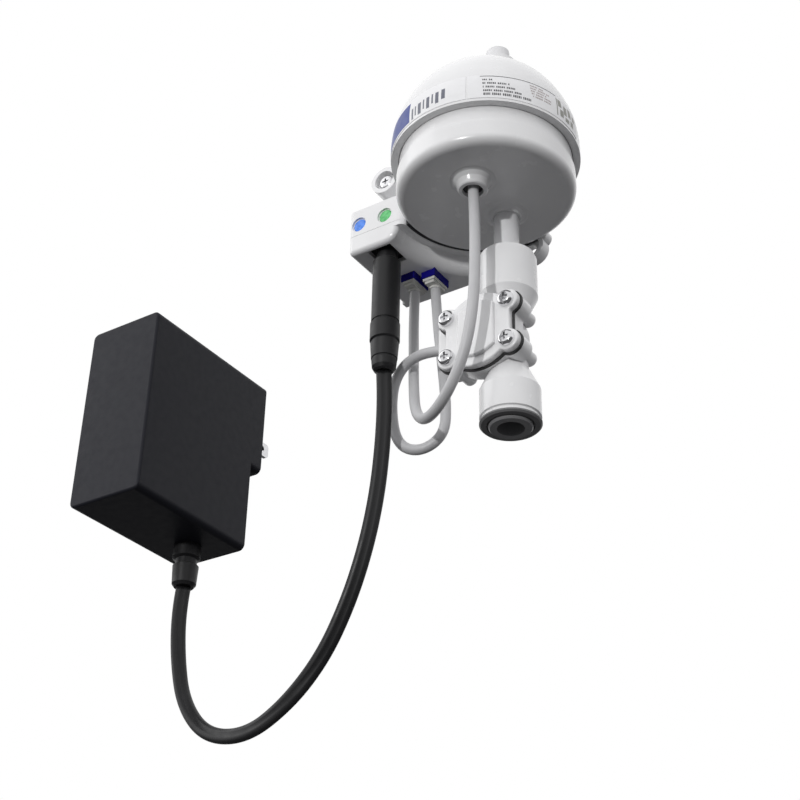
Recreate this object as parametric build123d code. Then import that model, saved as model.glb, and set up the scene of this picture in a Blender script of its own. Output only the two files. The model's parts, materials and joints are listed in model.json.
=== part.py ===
from build123d import *
import math
import os

# Small wall-hung inline water treatment reactor: a pearl-shaped UV-LED chamber in a wall
# cradle with its controller, a turbine flow sensor on the water line, and a plug-in supply.
# Millimetres. Origin on the wall, behind the reactor axis. -Y points into the room, +Z is up.

# ---- driving dimensions -------------------------------------------------------------------
AXIS_Y = -38.6            # reactor axis, in front of the wall
PIPE_X = 1.8              # water line axis below the reactor
OUTLET_X = -0.4           # water line axis above it
PIPE_Y = -26.6
TUBE_R = 4.76             # 3/8 inch tube
HIDDEN_R = 4.3            # upper tube where the dome holds it
TUBE_BORE = 3.2
SEAL_R = 0.9              # section of the stems' rubber rings
SEAL_SQUEEZE = 0.05       # gap of an unsqueezed ring round its tube
FIT = 0.08                # radial clearance of a seated round fit
RUN_FIT = 0.05            # radial clearance of a turning fit

SKIRT_Z = 12.0            # lower rim of the dome
SKIRT_TOP = 16.4
DOME_R = 36.0
DOME_RISE = 39.0
DOME_WALL = 2.8
LABEL_LOW = 13.2          # label films round the dome
LABEL_HIGH = 24.8
LABEL_T = 0.15
NECK_R = 33.0             # bowl neck inside the dome's skirt
NECK_TOP = 18.0
BOWL_R = 33.9
BOWL_STEP_Z = 5.0
BOWL_FLOOR = -4.8
BOWL_ROUND = 3.4
BOWL_WALL = 3.0
LEDGE_Z = 6.0             # seat of the chamber base inside the bowl
LEDGE_R = 27.5
BASE_TOP = 12.0
CHAMBER_R = 30.2
LINER_WALL = 2.4
LINER_RISE = 32.5
LINER_TOP = 50.5          # above everything of the liner
OUTLET_NECK_R = 7.5
OUTLET_NECK_TOP = 73.5
OUTLET_TIP = 79.3
OUTLET_SEAL_Z = 67.1
STEM_LOW = 42.0           # end of the outlet tube inside the chamber
LEAD_X = 1.5              # lead boss under the bowl
LEAD_Y = -50.8
LEAD_BOSS_TIP = -9.7
LEAD_HOLE_R = 3.9
LEAD_R = 2.0              # reactor and sensor leads
WINDOW_Y = -48.0          # quartz window, in front of the axis
WINDOW_R = 11.5
WINDOW_T = 2.5
WINDOW_SEAT = 8.7
CLAMP_SCREW_R = WINDOW_R + 1.8   # circle of the window's three screws
CLAMP_TURNS = (90, 210, 330)

CRADLE_LEFT = -60.7
CRADLE_RIGHT = 4.0
CRADLE_FRONT = -42.0
CRADLE_LOW = -9.2
CRADLE_TOP = 11.4
SEAM_Z = -1.0             # joint between the cradle and its underside cover
CRADLE_WALL = 2.0
SEAM_GROOVE = 0.12
RING_R = 35.0             # cradle's bore round the bowl
RING_LIP = 38.0           # start of the rounded lower lip
RING_LEDGE = -3.2
CORNER_R = 2.7            # front corner next to the bore
CAVITY_R = 42.0           # inner wall of the electronics space
PLATE_T = 3.0
PLATE_TOP = 36.0
SCREW_L = (-48.8, 27.9)   # wall screws, x and z
SCREW_R = (-0.2, -5.3)
LUG_FRONT = -36.0
EAR_FRONT = -5.0
LUG_R = 6.1
COUNTERBORE_R = 4.3
EAR_BUMP = (3.7, -0.8)     # rounded end of the ear, x and z
EAR_BUMP_R = 3.6
SCREW_HOLE_R = 2.1

JACK_X = -47.7            # low-voltage inlet
JACK_Y = -33.8
JACK_FACE = -7.0
JACK_HALF_X = 5.2         # half size of its opening
JACK_HALF_Y = 6.0
PLUG_R = 5.45
PLUG_TOP = -12.3
PLUG_TIP = -62.9
SOCKETS = ((-47.2, -14.6), (-39.3, -11.9))   # reactor lead, sensor lead
SOCKET_W = 6.2
SOCKET_D = 10.6
SOCKET_LOW = -12.2
LEAD_END_Z = -15.5
LENS_R = 2.8
LAMP_BACK = -34.4
LENSES = ((-56.0, 4.3), (-43.9, 4.0))        # status lights, x and z

SENSOR_X = -4.4           # flow sensor turbine axis
SENSOR_Z = -61.6
SENSOR_FACE = -35.4       # joint face under the gasket
SLAB_BACK = -29.0         # lobed part of the body
CORE_BACK = -22.0         # round part of the body
CORE_R = 12.7
BOSS_BACK = -21.3         # screw bosses
BOSS_R = 2.8
CAVITY_BACK = -23.8       # turbine space
TURBINE_SPACE_R = 11.3
GASKET_T = 1.2
COVER_GAP = 0.8            # room round gasket and cover in front of the joint face
COVER_T = 2.4
SENSOR_R = 15.0
SENSOR_HALF_W = 13.2
SCREW_DX = 12.3
SCREW_DZ = 8.4
LOBE_R = 4.3
SCREW_HEAD_R = 3.1
CUP_R = 11.0
CUP_LIP_R = 10.4
CUP_TOP = -25.0           # rim of the upper tube fitting
CUP_LOW = -96.4           # rim of the lower tube fitting
UPPER_CUP_LEN = 18.5      # straight part of each fitting
LOWER_CUP_LEN = 13.0
CUP_ROOT_R = 6.6
COLLET_BORE = 4.9
COLLET_R = 7.9            # flange
BAY_R = 8.3               # collet bay in a cup
SEAL_BAY_R = 7.0
POD = (-24.5, -33.5, -24.5, -64.5, -52.5)    # sensor pod: left x, front and back y, low and high z
POD_EXIT = (-24.0, -29.0, -58.5)             # where the sensor lead enters it
ROTOR_R = 10.6
ROTOR_FRONT = -34.6
ROTOR_BACK = -24.6
MAGNET_R = 0.82
MAGNET_DX = 2.25
MAGNET_LEN = 3.0

SUPPLY_X0 = -166.7        # plug-in supply
SUPPLY_X1 = -131.8
SUPPLY_FRONT = -69.6
SUPPLY_BACK = -6.5
SUPPLY_LOW = -104.2
SUPPLY_HIGH = -25.2
BASE_LOW = -66.7
SUPPLY_SEAM_Y = -64.0
SUPPLY_WALL = 2.2
RELIEF_Y = -20.5
RELIEF_TIP = -121.8
BLADE_W = 6.35
BLADE_T = 1.5
BLADE_PITCH = 12.7
BLADE_LEN = 16.5
BLADE_Z = -46.0
CORD_R = 2.6

SUPPLY_X = (SUPPLY_X0 + SUPPLY_X1) / 2

REACTOR_LEAD = [(1.5, -50.8, -4.5), (2.0, -50.5, -20.5), (2.0, -50.5, -40.0), (1.0, -50.0, -59.0),
                (-3.5, -49.0, -78.5), (-14.0, -45.0, -91.0), (-26.5, -37.5, -92.5),
                (-36.5, -29.0, -82.0), (-41.7, -22.5, -65.3), (-44.7, -18.2, -48.2),
                (-47.0, -15.2, -30.4), (-47.0, -14.6, -15.5)]
SENSOR_LEAD = [(-24.5, -29.0, -58.5), (-30.5, -28.2, -56.6), (-38.0, -27.0, -55.5),
               (-44.6, -25.7, -57.2), (-48.9, -24.8, -62.4), (-50.1, -24.4, -70.0),
               (-49.9, -24.0, -78.0), (-48.6, -23.4, -85.8), (-45.0, -22.6, -91.0),
               (-39.2, -21.6, -93.0), (-33.4, -20.4, -91.0), (-29.9, -19.2, -85.8),
               (-30.0, -18.2, -76.5), (-31.6, -16.8, -65.6), (-34.1, -15.0, -51.0),
               (-37.0, -13.2, -35.0), (-39.1, -11.9, -15.5)]
POWER_CORD = [(-47.7, -33.8, -62.9), (-46.9, -33.8, -73.0), (-47.4, -33.5, -93.0),
              (-50.0, -32.5, -113.0), (-54.5, -32.0, -132.5), (-62.0, -31.0, -151.5),
              (-73.0, -29.5, -169.0), (-88.0, -28.5, -182.5), (-107.0, -26.5, -190.5),
              (-127.5, -24.5, -186.5), (-141.5, -22.5, -171.5), (-148.0, -21.0, -152.0),
              (-150.5, -20.5, -132.0), (-149.25, -20.5, -121.8)]


# ---- shape helpers ------------------------------------------------------------------------
def post(radius, z0, z1, x=0.0, y=0.0):
    """Upright cylinder from z0 to z1."""
    return Pos(x, y, (z0 + z1) / 2) * Cylinder(radius, abs(z1 - z0))


def pipe(outer, inner, z0, z1, x=0.0, y=0.0):
    """Upright tube."""
    return post(outer, z0, z1, x, y) - post(inner, z0, z1, x, y)


def rod(radius, y0, y1, x, z):
    """Cylinder along Y from y0 to y1."""
    return Pos(x, (y0 + y1) / 2, z) * Rot(90, 0, 0) * Cylinder(radius, abs(y1 - y0))


def block(x0, x1, y0, y1, z0, z1):
    """Box between two corners."""
    return Pos((x0 + x1) / 2, (y0 + y1) / 2, (z0 + z1) / 2) * Box(x1 - x0, y1 - y0, z1 - z0)


def turned(points, x=0.0, y=0.0):
    """Solid of revolution about an upright axis, from (radius, z) corners."""
    return Pos(x, y, 0) * revolve(Plane.XZ * make_face(Polyline(*points, close=True)), Axis.Z)


def domed(radius, low, shoulder, rise):
    """Cylinder with a dome on top, on the reactor axis: two tangent arcs, steeper at the side."""
    shift = 2 * (rise - radius)
    side_r = radius + shift
    crown_r = (side_r ** 2 - rise ** 2 - shift ** 2) / (2 * (side_r - rise))
    crown_z = shoulder + rise - crown_r
    lean = math.degrees(math.atan2(crown_z - shoulder, shift))
    outline = Line((0, low), (radius, low)) + Line((radius, low), (radius, shoulder))
    outline += CenterArc((-shift, shoulder), side_r, 0, lean)
    outline += CenterArc((0, crown_z), crown_r, lean, 90 - lean)
    outline += Line((0, shoulder + rise), (0, low))
    return Pos(0, AXIS_Y, 0) * revolve(Plane.XZ * make_face(outline), Axis.Z)


def o_ring(major, minor, z, x, y):
    """Rubber ring lying flat."""
    return Pos(x, y, z) * Torus(major, minor)


def upright_edges(shape):
    """Edges that run along Z."""
    return shape.edges().filter_by(Axis.Z)


def save(shape, name):
    """Write one named sub-part."""
    shape.label = name
    export_step(shape, "parts/" + name + ".step")


# ---- reactor ------------------------------------------------------------------------------
def dome_shell():
    body = domed(DOME_R, SKIRT_Z, SKIRT_TOP, DOME_RISE)
    neck = turned([(0, SKIRT_TOP), (OUTLET_NECK_R + 2.5, SKIRT_TOP), (OUTLET_NECK_R + 2.5, 52),
                   (OUTLET_NECK_R + 0.8, 58), (OUTLET_NECK_R, 66), (OUTLET_NECK_R, OUTLET_NECK_TOP - 1),
                   (OUTLET_NECK_R - 1, OUTLET_NECK_TOP), (0, OUTLET_NECK_TOP)], OUTLET_X, PIPE_Y)
    body += neck
    body -= domed(DOME_R - DOME_WALL, SKIRT_Z, SKIRT_TOP, DOME_RISE - DOME_WALL)
    body -= post(HIDDEN_R + FIT, SKIRT_TOP, OUTLET_NECK_TOP, OUTLET_X, PIPE_Y)
    body -= post(HIDDEN_R + 2.0, OUTLET_SEAL_Z - 1.1, OUTLET_SEAL_Z + 1.1, OUTLET_X, PIPE_Y)
    return body


def label_band(start, sweep, low, high):
    """Thin label wrapped round the dome, from one compass angle through a sweep."""
    shell = domed(DOME_R + LABEL_T, SKIRT_Z, SKIRT_TOP, DOME_RISE + LABEL_T)
    shell -= domed(DOME_R + 0.01, SKIRT_Z, SKIRT_TOP, DOME_RISE + 0.01)
    far = DOME_R * 2
    corners = [(0, 0)]
    for step in range(5):
        turn = math.radians(start + sweep * step / 4)
        corners.append((far * math.cos(turn), far * math.sin(turn)))
    wedge = Pos(0, AXIS_Y, low) * extrude(make_face(Polyline(*corners, close=True)), high - low)
    return shell & wedge


def lower_bowl():
    corner = BOWL_FLOOR + BOWL_ROUND
    outline = Line((0, BOWL_FLOOR), (BOWL_R - BOWL_ROUND, BOWL_FLOOR))
    outline += CenterArc((BOWL_R - BOWL_ROUND, corner), BOWL_ROUND, 270, 90)
    outline += Polyline((BOWL_R, corner), (BOWL_R, BOWL_STEP_Z - 0.5), (NECK_R, BOWL_STEP_Z),
                        (NECK_R, NECK_TOP), (0, NECK_TOP), (0, BOWL_FLOOR))
    bowl = Pos(0, AXIS_Y, 0) * revolve(Plane.XZ * make_face(outline), Axis.Z)
    inside = BOWL_FLOOR + BOWL_WALL
    bowl += turned([(0, inside), (8.6, inside), (8.6, BOWL_FLOOR), (7.3, BOWL_FLOOR - 0.6),
                    (6.3, BOWL_FLOOR - 1.9), (5.8, BOWL_FLOOR - 3.4), (5.6, LEAD_BOSS_TIP + 0.4),
                    (5.2, LEAD_BOSS_TIP), (0, LEAD_BOSS_TIP)], LEAD_X, LEAD_Y)
    bowl += turned([(0, inside), (8.4, inside), (8.4, BOWL_FLOOR), (7.0, BOWL_FLOOR - 0.5),
                    (6.0, BOWL_FLOOR - 1.2), (5.5, BOWL_FLOOR - 1.9), (0, BOWL_FLOOR - 1.9)],
                   PIPE_X, PIPE_Y)
    bowl -= turned([(0, inside), (LEDGE_R - 6, inside), (LEDGE_R, inside + 6), (LEDGE_R, LEDGE_Z),
                    (CHAMBER_R + FIT, LEDGE_Z), (CHAMBER_R + FIT, NECK_TOP), (0, NECK_TOP)], 0, AXIS_Y)
    bowl -= post(LEAD_HOLE_R, LEAD_BOSS_TIP, inside, LEAD_X, LEAD_Y)
    bowl -= post(TUBE_R + FIT, BOWL_FLOOR - 4, inside, PIPE_X, PIPE_Y)
    return bowl


def lead_grommet():
    """Rubber grommet that grips the lead inside the boss."""
    inside = BOWL_FLOOR + BOWL_WALL
    grommet = pipe(LEAD_HOLE_R - 0.05, LEAD_R + 0.05, LEAD_BOSS_TIP + 1.8, inside, LEAD_X, LEAD_Y)
    return grommet + pipe(5.2, LEAD_R + 0.05, inside, inside + 1.5, LEAD_X, LEAD_Y)


def chamber_base():
    base = post(CHAMBER_R, LEDGE_Z, BASE_TOP, 0, AXIS_Y)
    base -= post(WINDOW_R - 2.0, LEDGE_Z, BASE_TOP, 0, WINDOW_Y)
    base -= post(WINDOW_R + FIT, WINDOW_SEAT - 1.2, BASE_TOP, 0, WINDOW_Y)
    base -= post(TUBE_R + FIT, LEDGE_Z, BASE_TOP - 2, PIPE_X, PIPE_Y)
    base -= post(TUBE_BORE, LEDGE_Z, BASE_TOP, PIPE_X, PIPE_Y)
    base -= post(TUBE_R + 1.9, LEDGE_Z, LEDGE_Z + 2.0, PIPE_X, PIPE_Y)
    return base


def reaction_chamber():
    """White reflective liner in which the water is treated."""
    liner = domed(CHAMBER_R, BASE_TOP, SKIRT_TOP, LINER_RISE)
    liner -= domed(CHAMBER_R - LINER_WALL, BASE_TOP, SKIRT_TOP, LINER_RISE - LINER_WALL)
    liner -= pipe(CHAMBER_R, CHAMBER_R - 1.7, BASE_TOP, BASE_TOP + 1.7, 0, AXIS_Y)
    socket = post(TUBE_R + 1.8, STEM_LOW - 2, LINER_TOP, OUTLET_X, PIPE_Y)
    socket -= domed(CHAMBER_R - LINER_WALL, BASE_TOP, SKIRT_TOP, LINER_RISE - LINER_WALL)
    socket &= domed(DOME_R - DOME_WALL - 0.3, BASE_TOP, SKIRT_TOP, DOME_RISE - DOME_WALL - 0.3)
    liner += socket
    liner -= post(HIDDEN_R + FIT, STEM_LOW - 3, LINER_TOP, OUTLET_X, PIPE_Y)
    return liner


def upper_stem():
    """Outlet tube: slightly slimmer where the dome holds it."""
    stem = pipe(HIDDEN_R, TUBE_BORE, STEM_LOW, OUTLET_NECK_TOP, OUTLET_X, PIPE_Y)
    return stem + pipe(TUBE_R, TUBE_BORE, OUTLET_NECK_TOP, OUTLET_TIP, OUTLET_X, PIPE_Y)


def window_clamp():
    ring = pipe(WINDOW_R + 3.2, WINDOW_R - 2.0, BASE_TOP, BASE_TOP + 1.0, 0, WINDOW_Y)
    return ring - clamp_screw_bodies(1.0)


def clamp_screw_spots():
    """Places of the three small screws round the window."""
    turns = [math.radians(turn) for turn in CLAMP_TURNS]
    return [(CLAMP_SCREW_R * math.cos(turn), WINDOW_Y + CLAMP_SCREW_R * math.sin(turn)) for turn in turns]


def clamp_screw_bodies(radius):
    bodies = Part()
    for x, y in clamp_screw_spots():
        bodies += post(radius, BASE_TOP, BASE_TOP + 1.0, x, y)
    return bodies


def window_screws():
    screws = clamp_screw_bodies(0.95)
    for x, y in clamp_screw_spots():
        screws += post(1.6, BASE_TOP + 1.0, BASE_TOP + 2.1, x, y)
    return screws


def uv_leds():
    """Three UV-C emitter packages under the window."""
    size = 1.75
    leds = []
    for turn in (30, 150, 270):
        x = 4.2 * math.cos(math.radians(turn))
        y = WINDOW_Y + 4.2 * math.sin(math.radians(turn))
        leds.append(block(x - size, x + size, y - size, y + size, LEDGE_Z - 1.0, LEDGE_Z + 0.4))
    return Compound(children=leds)


def led_board():
    return post(WINDOW_R - 2.1, LEDGE_Z - 2.6, LEDGE_Z - 1.0, 0, WINDOW_Y)


def heat_spreader():
    """Copper slug that carries the emitters' heat into the wet chamber base."""
    slug = post(WINDOW_R + 1.5, LEDGE_Z - 5.6, LEDGE_Z - 2.6, 0, WINDOW_Y)
    slug += pipe(WINDOW_R + 1.5, WINDOW_R - 1.5, LEDGE_Z - 2.6, LEDGE_Z, 0, WINDOW_Y)
    return slug


# ---- cradle and controller ----------------------------------------------------------------
def ring_cut():
    """Space for the reactor in the cradle: a bore, a ledge and a mouth with a rounded lip."""
    lip_r = RING_LEDGE - CRADLE_LOW
    outline = Line((0, RING_LEDGE), (RING_LIP, RING_LEDGE))
    outline += CenterArc((RING_LIP + lip_r, RING_LEDGE), lip_r, 180, 90)
    outline += Polyline((RING_LIP + lip_r, CRADLE_LOW), (0, CRADLE_LOW), (0, RING_LEDGE))
    mouth = Pos(0, AXIS_Y, 0) * revolve(Plane.XZ * make_face(outline), Axis.Z)
    return mouth + post(RING_R, RING_LEDGE, PLATE_TOP + 30, 0, AXIS_Y) + bore_corner()


def bore_corner():
    """Waste piece that rounds the controller's front corner next to the bore."""
    centre_y = CRADLE_FRONT + CORNER_R
    centre_x = -math.sqrt((RING_R + CORNER_R) ** 2 - (centre_y - AXIS_Y) ** 2)
    waste = block(centre_x, -RING_R + 2, CRADLE_FRONT - 1, centre_y, RING_LEDGE, CRADLE_TOP)
    return waste - post(CORNER_R, RING_LEDGE, CRADLE_TOP, centre_x, centre_y)


def cradle_block():
    """Outer form of the controller, round in plan at its free corners."""
    body = block(CRADLE_LEFT, CRADLE_RIGHT, CRADLE_FRONT, 0, CRADLE_LOW, CRADLE_TOP)
    front = upright_edges(body).group_by(Axis.Y)[0]
    body = fillet(front.group_by(Axis.X)[0], 2.0)
    underside = body.faces().sort_by(Axis.Z)[0].edges()
    free = [edge for edge in underside if edge.center().Y < -1 and edge.center().X < CRADLE_RIGHT - 1]
    return fillet(free, 1.9)


def cradle_form():
    """Outer form with the reactor's space cut out and a soft corner between front and mouth."""
    body = cradle_block() - ring_cut()
    crease = [edge for edge in body.edges().filter_by(GeomType.BSPLINE)
              if abs(edge.center().Y - CRADLE_FRONT) < 0.5 and edge.center().Z < RING_LEDGE]
    return fillet(crease, 1.8)


def plate():
    """Wall plate with rounded corners."""
    sheet = block(CRADLE_LEFT, CRADLE_RIGHT, -PLATE_T, 0, CRADLE_LOW, PLATE_TOP)
    return fillet(sheet.edges().filter_by(Axis.Y).group_by(Axis.Z)[-1], 5.0)


def cavity():
    """Electronics space inside the cradle."""
    inner = block(CRADLE_LEFT + CRADLE_WALL, -14.0, CRADLE_FRONT + CRADLE_WALL, -CRADLE_WALL,
                  CRADLE_LOW + CRADLE_WALL, CRADLE_TOP - CRADLE_WALL)
    return inner - post(CAVITY_R, CRADLE_LOW, CRADLE_TOP, 0, AXIS_Y)


def jack_hole():
    return block(JACK_X - JACK_HALF_X, JACK_X + JACK_HALF_X, JACK_Y - JACK_HALF_Y, JACK_Y + JACK_HALF_Y,
                 CRADLE_LOW, CRADLE_LOW + CRADLE_WALL + 1)


def socket_block(place, grow, z0, z1):
    """Rectangular socket outline, its long side across the wall."""
    return Pos(place[0], place[1], (z0 + z1) / 2) * Box(SOCKET_W + grow, SOCKET_D + grow, z1 - z0)


def cradle_housing():
    body = cradle_form() - cavity()
    body += plate() - ring_cut()
    body += plate() - block(CRADLE_LEFT, CRADLE_RIGHT, -PLATE_T, 0, CRADLE_TOP, PLATE_TOP)
    body += rod(LUG_R, LUG_FRONT, 0, *SCREW_L)
    body += block(SCREW_L[0] - 4, SCREW_L[0] + 4, -20, 0, CRADLE_TOP - 1, SCREW_L[1])
    body += rod(LUG_R, EAR_FRONT, 0, *SCREW_R)
    bump = rod(EAR_BUMP_R, EAR_FRONT, 0, *EAR_BUMP)
    body += fillet(bump.edges().sort_by(Axis.Y)[0], 1.5)
    body -= post(RING_R, RING_LEDGE, PLATE_TOP + 30, 0, AXIS_Y)
    body -= post(DOME_R + 0.6, CRADLE_TOP, PLATE_TOP + 30, 0, AXIS_Y)
    for place, front, deep in ((SCREW_L, LUG_FRONT, 3.0), (SCREW_R, EAR_FRONT, 2.0)):
        body -= rod(COUNTERBORE_R, front, front + deep, *place)
        body -= rod(SCREW_HOLE_R, front, 0, *place)
    for x, z in LENSES:
        body -= rod(LENS_R + FIT, CRADLE_FRONT, LAMP_BACK + 0.2, x, z)
        body -= rod(LENS_R + 0.45, CRADLE_FRONT, CRADLE_FRONT + 0.9, x, z)
    return body - below_seam() - seam_groove()


def seam_groove():
    """Fine groove round the outside of the joint line."""
    low = SEAM_Z - SEAM_GROOVE
    high = SEAM_Z + SEAM_GROOVE
    deep = 0.6
    ring = block(CRADLE_LEFT - 1, -RING_R, CRADLE_FRONT - 1, -PLATE_T, low, high)
    return ring - block(CRADLE_LEFT + deep, 0, CRADLE_FRONT + deep, 0, low, high)


def below_seam():
    """Everything under the joint line, inside the controller's outline."""
    return block(CRADLE_LEFT - 1, -16.0, CRADLE_FRONT - 1, -PLATE_T, CRADLE_LOW - 1, SEAM_Z)


def underside_cover():
    cover = (cradle_form() - cavity()) & below_seam()
    cover -= jack_hole()
    for place in SOCKETS:
        cover -= socket_block(place, 0.3, CRADLE_LOW - 1, SEAM_Z + 1)
    return cover


def cradle_pad():
    """Rubber strip between the bowl and the cradle's bore."""
    ring = pipe(RING_R - 0.05, BOWL_R + 0.15, RING_LEDGE + 0.2, BOWL_STEP_Z - 1, 0, AXIS_Y)
    far = RING_R * 2
    wedge = [(0, 0)]
    for turn in (84, 120, 150, 182):
        wedge.append((far * math.cos(math.radians(turn)), far * math.sin(math.radians(turn))))
    keep = Pos(0, AXIS_Y, RING_LEDGE) * extrude(make_face(Polyline(*wedge, close=True)), 10)
    return ring & keep


def control_board():
    board = block(CRADLE_LEFT + 2.5, -22.0, CRADLE_FRONT + 2.5, -PLATE_T, SEAM_Z, SEAM_Z + 1.6)
    return board - post(CAVITY_R + 0.6, CRADLE_LOW, CRADLE_TOP, 0, AXIS_Y)


def board_parts():
    """Controller chip, two capacitors and an inductor on top of the board."""
    top = SEAM_Z + 1.6
    chip = block(-53.0, -46.0, -17.0, -10.0, top, top + 1.2)
    coil = block(-42.0, -36.0, -10.5, -4.5, top, top + 3.0)
    caps = [post(2.5, top, top + 5.5, x, -24.5) for x in (-53.5, -47.8)]
    return Compound(children=[chip, coil] + caps)


def status_leds():
    """Two lamps that lie behind the lenses."""
    return Compound(children=[rod(1.5, CRADLE_FRONT + 4.8, LAMP_BACK, x, z) for x, z in LENSES])


def lens(place):
    """Recessed light pipe in the front wall."""
    x, z = place
    pipe_body = rod(LENS_R, CRADLE_FRONT + 0.6, CRADLE_FRONT + 4.6, x, z)
    return fillet(pipe_body.edges().sort_by(Axis.Y)[0], 0.5)


def dc_jack():
    gap = 0.2
    jack = block(JACK_X - JACK_HALF_X + gap, JACK_X + JACK_HALF_X - gap,
                 JACK_Y - JACK_HALF_Y + gap, JACK_Y + JACK_HALF_Y - gap, JACK_FACE, SEAM_Z)
    return jack - post(2.9, JACK_FACE, SEAM_Z - 0.8, JACK_X, JACK_Y)


def lead_socket(place):
    """Blue board socket that stands out of the underside."""
    body = socket_block(place, 0.0, SOCKET_LOW, SEAM_Z)
    return body - socket_block(place, -2.0, SOCKET_LOW, -8.0)


def lead_plug(place):
    """White lead plug seated in its socket."""
    body = socket_block(place, -2.1, SOCKET_LOW - 2.3, -8.0)
    body += socket_block(place, -0.9, SOCKET_LOW - 1.1, SOCKET_LOW)
    body += post(2.4, LEAD_END_Z, SOCKET_LOW - 2.3, *place)
    return body


def wall_screw(place, seat):
    """Pan-head screw in the long lug, ending flush with the wall face."""
    shank = rod(1.9, seat, 0, *place)
    head = rod(3.4, seat - 2.0, seat, *place)
    head = fillet(head.edges().sort_by(Axis.Y)[0], 1.2)
    head -= cross_recess(place[0], seat - 2.0, place[1], 3.0, 0.7)
    return shank + head


def cross_recess(x, face_y, z, span, width):
    """Cross slot in a screw head that faces the room."""
    depth = 1.1
    slot = block(x - span / 2, x + span / 2, face_y, face_y + depth, z - width / 2, z + width / 2)
    slot += block(x - width / 2, x + width / 2, face_y, face_y + depth, z - span / 2, z + span / 2)
    return slot


def dc_plug():
    """Moulded low-voltage plug: a plain barrel, a wide grip band and a tapering tail."""
    ring = PLUG_R + 0.3
    return turned([(0, JACK_FACE), (4.2, JACK_FACE), (4.2, PLUG_TOP), (PLUG_R - 0.5, PLUG_TOP),
                   (PLUG_R, PLUG_TOP - 0.5), (PLUG_R, -40.6), (PLUG_R - 0.3, -40.7), (PLUG_R - 0.3, -41.2),
                   (ring, -41.8), (ring, -49.2), (PLUG_R - 0.35, -49.8), (PLUG_R - 0.35, -50.4),
                   (PLUG_R, -50.6), (PLUG_R - 0.45, -57.2), (PLUG_R - 0.8, -57.4), (PLUG_R - 0.8, -58.0),
                   (PLUG_R - 0.6, -58.2), (PLUG_R - 0.9, -61.0), (PLUG_R - 1.6, -62.3),
                   (3.1, PLUG_TIP), (0, PLUG_TIP)], JACK_X, JACK_Y)


def dc_plug_barrel():
    return pipe(2.75, 1.25, JACK_FACE, SEAM_Z - 0.9, JACK_X, JACK_Y)


# ---- flow sensor --------------------------------------------------------------------------
def sensor_outline(grow):
    """Face seen from the front: a round case with four screw lobes."""
    face = Circle(SENSOR_R + grow) & Rectangle(2 * (SENSOR_HALF_W + grow), 2 * (SENSOR_R + grow))
    for dx, dz in screw_spots():
        face += Pos(dx, dz) * Circle(LOBE_R + grow)
    return fillet(face.vertices(), 1.0)


def screw_spots():
    return [(sx * SCREW_DX, sz * SCREW_DZ) for sx in (-1, 1) for sz in (-1, 1)]


def sensor_slab(grow, front, back):
    """The outline made solid between two Y planes."""
    place = Plane(origin=(SENSOR_X, back, SENSOR_Z), x_dir=(1, 0, 0), z_dir=(0, -1, 0))
    return place * extrude(sensor_outline(grow), back - front)


def tube_cup(rim, up, straight):
    """Push-fit cup with a flared root; up is +1 when its mouth faces up."""
    root = rim - up * 30.0
    shoulder = rim - up * straight
    return turned([(0, rim), (CUP_LIP_R - 0.4, rim), (CUP_LIP_R, rim - up * 0.4),
                   (CUP_LIP_R, rim - up * 1.5), (CUP_R, rim - up * 1.9), (CUP_R, shoulder),
                   (CUP_R - 1.2, shoulder - up * 2.5), (CUP_ROOT_R + 0.4, shoulder - up * 8.5),
                   (CUP_ROOT_R, root), (0, root)], PIPE_X, PIPE_Y)


def cup_bore(rim, up):
    """Collet bay, seal bay, tube pocket and water way of one cup."""
    bays = ((BAY_R, 0.0, 7.5), (SEAL_BAY_R, 7.5, 10.5), (TUBE_R + FIT, 10.5, 15.5), (TUBE_BORE, 15.5, 36.0))
    cut = Part()
    for radius, start, stop in bays:
        cut += post(radius, rim - up * start, rim - up * stop, PIPE_X, PIPE_Y)
    return cut


def flow_body():
    body = sensor_slab(0.3, SENSOR_FACE, SLAB_BACK)
    core = rod(CORE_R, SLAB_BACK, CORE_BACK, SENSOR_X, SENSOR_Z)
    body += fillet(core.edges().sort_by(Axis.Y)[-1], 1.2)
    for dx, dz in screw_spots():
        boss = rod(BOSS_R, SLAB_BACK, BOSS_BACK, SENSOR_X + dx, SENSOR_Z + dz)
        body += fillet(boss.edges().sort_by(Axis.Y)[-1], 1.4)
    body += tube_cup(CUP_TOP, 1, UPPER_CUP_LEN) + tube_cup(CUP_LOW, -1, LOWER_CUP_LEN)
    body -= sensor_slab(COVER_GAP, SENSOR_FACE - GASKET_T - COVER_T, SENSOR_FACE)
    left, front, back, low, high = POD
    pod = block(left, SENSOR_X - CORE_R + 2, front, back, low, high)
    body += fillet(upright_edges(pod).group_by(Axis.X)[0], 1.5)
    body -= rod(TURBINE_SPACE_R, SENSOR_FACE, CAVITY_BACK, SENSOR_X, SENSOR_Z)
    body -= rod(1.05, CAVITY_BACK, CAVITY_BACK + 1.0, SENSOR_X, SENSOR_Z)
    body -= cup_bore(CUP_TOP, 1)
    body -= cup_bore(CUP_LOW, -1)
    wall = 1.2
    body -= block(left + wall, left + 4.9, front + wall, back - wall, low + wall, high - wall)
    body -= Pos(*POD_EXIT) * Rot(0, 90, 0) * Cylinder(LEAD_R + 0.6, 3.0)
    for dx, dz in screw_spots():
        body -= rod(1.45, SENSOR_FACE, BOSS_BACK - 2.5, SENSOR_X + dx, SENSOR_Z + dz)
    return body


def flow_gasket():
    ring = sensor_slab(0.55, SENSOR_FACE - GASKET_T, SENSOR_FACE)
    ring -= rod(TURBINE_SPACE_R, SENSOR_FACE - GASKET_T, SENSOR_FACE, SENSOR_X, SENSOR_Z)
    for dx, dz in screw_spots():
        ring -= rod(1.55, SENSOR_FACE - GASKET_T, SENSOR_FACE, SENSOR_X + dx, SENSOR_Z + dz)
    return ring


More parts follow.
